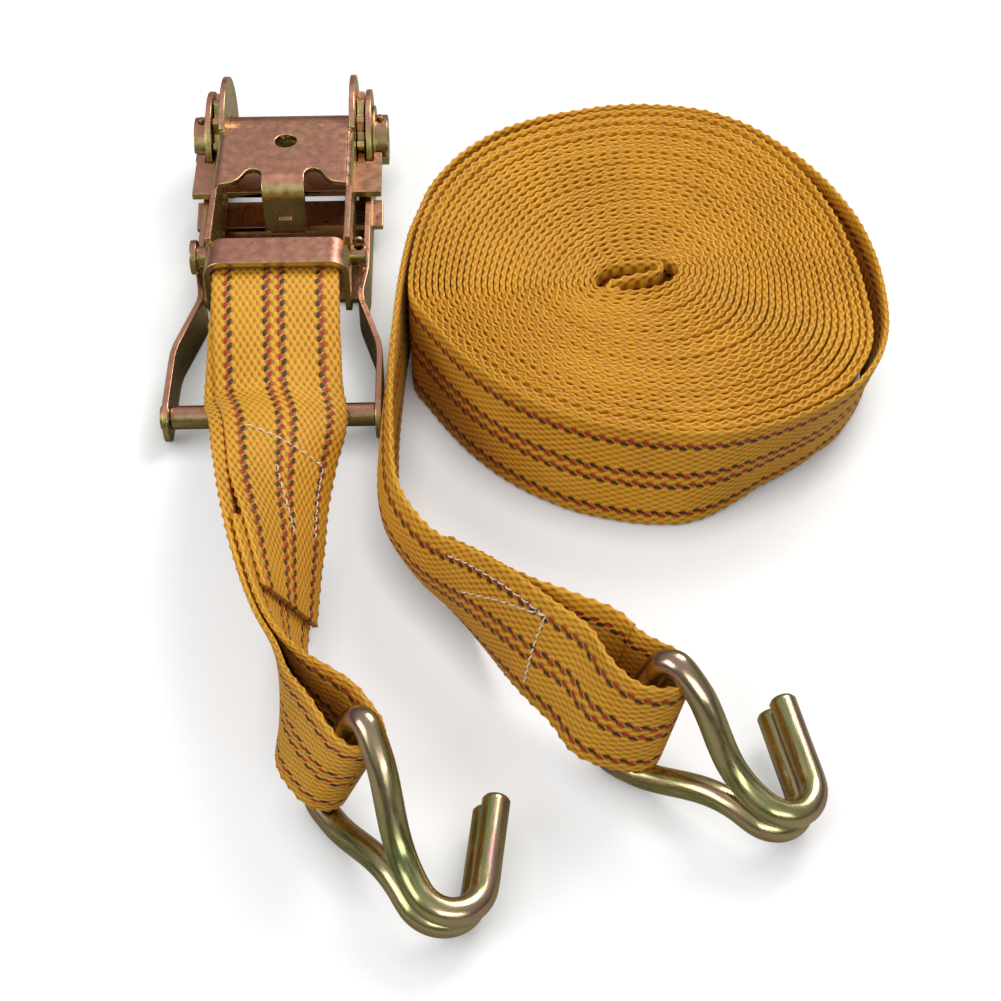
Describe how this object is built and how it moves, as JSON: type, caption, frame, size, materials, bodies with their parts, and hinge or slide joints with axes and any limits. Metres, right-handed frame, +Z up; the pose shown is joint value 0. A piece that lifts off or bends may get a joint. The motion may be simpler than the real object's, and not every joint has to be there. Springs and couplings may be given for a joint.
{
  "type": "ratchet tie down",
  "caption": "Webbing ratchet tie-down: geared lever ratchet with a short sewn strap and double-J hook, and a long hooked strap wound in a flat coil.",
  "frame": {"origin": "middle of the footprint's bounding box, on the ground", "axes": "+Z up from the ground; +Y from the hooks towards the ratchet's spool; +X from the ratchet towards the coil; the spool axis lies along X"},
  "size_m": [0.2804, 0.4172, 0.0621],
  "materials": {
    "zinc_plate": "yellow-iridescent zinc plating on pressed sheet, satin, pink-copper with olive edges",
    "zinc_pins": "yellow-iridescent zinc plating on turned bar, satin",
    "spring_steel": "plated spring wire",
    "hook_bar": "olive and pink iridescent zinc plating on bent bar, semi-bright",
    "webbing": "woven polyester webbing, golden yellow with four dashed red and black warp stripes",
    "thread": "pale sewing thread"
  },
  "bodies": {
    "frame": {"frame": "zinc_plate", "lock_pawl_spring": "spring_steel"},
    "handle": {"handle": "zinc_plate", "handle_crossbar": "zinc_pins", "drive_pawl_spring": "spring_steel"},
    "spool": {"spool_half_front": "zinc_pins", "spool_half_rear": "zinc_pins", "ratchet_wheel_left": "zinc_plate", "ratchet_wheel_right": "zinc_plate", "spool_washer_left": "zinc_plate", "spool_washer_right": "zinc_plate", "spool_pin_left": "zinc_pins", "spool_pin_right": "zinc_pins"},
    "lock_pawl": {"lock_pawl": "zinc_plate"},
    "drive_pawl": {"drive_pawl": "zinc_plate"},
    "anchor": {"anchor_pin": "zinc_pins", "anchor_split_pin": "spring_steel"},
    "fixed_strap": {"fixed_strap": "webbing", "fixed_strap_stitching": "thread"},
    "fixed_hook": {"fixed_hook": "hook_bar"},
    "long_strap": {"long_strap": "webbing", "long_strap_stitching": "thread"},
    "long_hook": {"long_hook": "hook_bar"}
  },
  "joints": [
    {"name": "handle_swing", "type": "hinge", "parent": "frame", "child": "handle", "pos_m": [-0.09684, 0.18033, 0.022], "axis": [1, 0, 0], "range_deg": [0, 175]},
    {"name": "spool_spin", "type": "hinge", "parent": "frame", "child": "spool", "pos_m": [-0.09684, 0.18033, 0.022], "axis": [1, 0, 0], "continuous": true},
    {"name": "lock_pawl_slide", "type": "slide", "parent": "frame", "child": "lock_pawl", "axis": [0, -1, 0], "range_m": [0, 0.004], "stiffness_N_per_m": 600, "springref_m": -0.004, "deforming": ["lock_pawl_spring"]},
    {"name": "drive_pawl_slide", "type": "slide", "parent": "handle", "child": "drive_pawl", "axis": [0, -0.9553, -0.2955], "range_m": [-0.004, 0], "deforming": ["drive_pawl_spring"]},
    {"name": "anchor_pin_turn", "type": "hinge", "parent": "frame", "child": "anchor", "pos_m": [-0.09684, 0.09333, 0.028], "axis": [1, 0, 0], "range_deg": [-120, 120]},
    {"name": "fixed_strap_lift", "type": "hinge", "parent": "frame", "child": "fixed_strap", "pos_m": [-0.09684, 0.09333, 0.028], "axis": [-1, 0, 0], "range_deg": [0, 2]},
    {"name": "fixed_hook_swivel", "type": "hinge", "parent": "fixed_strap", "child": "fixed_hook", "pos_m": [-0.06522, -0.15593, 0.0326], "axis": [0.3271, -0.1427, 0.9342], "range_deg": [-20, 20]},
    {"name": "long_strap_lift", "type": "slide", "parent": "frame", "child": "long_strap", "axis": [0, 0, 1], "range_m": [0, 0.12]},
    {"name": "long_hook_swivel", "type": "hinge", "parent": "long_strap", "child": "long_hook", "pos_m": [0.0287, -0.13972, 0.0328], "axis": [0.3263, -0.0595, 0.9434], "range_deg": [-20, 20]}
  ]
}
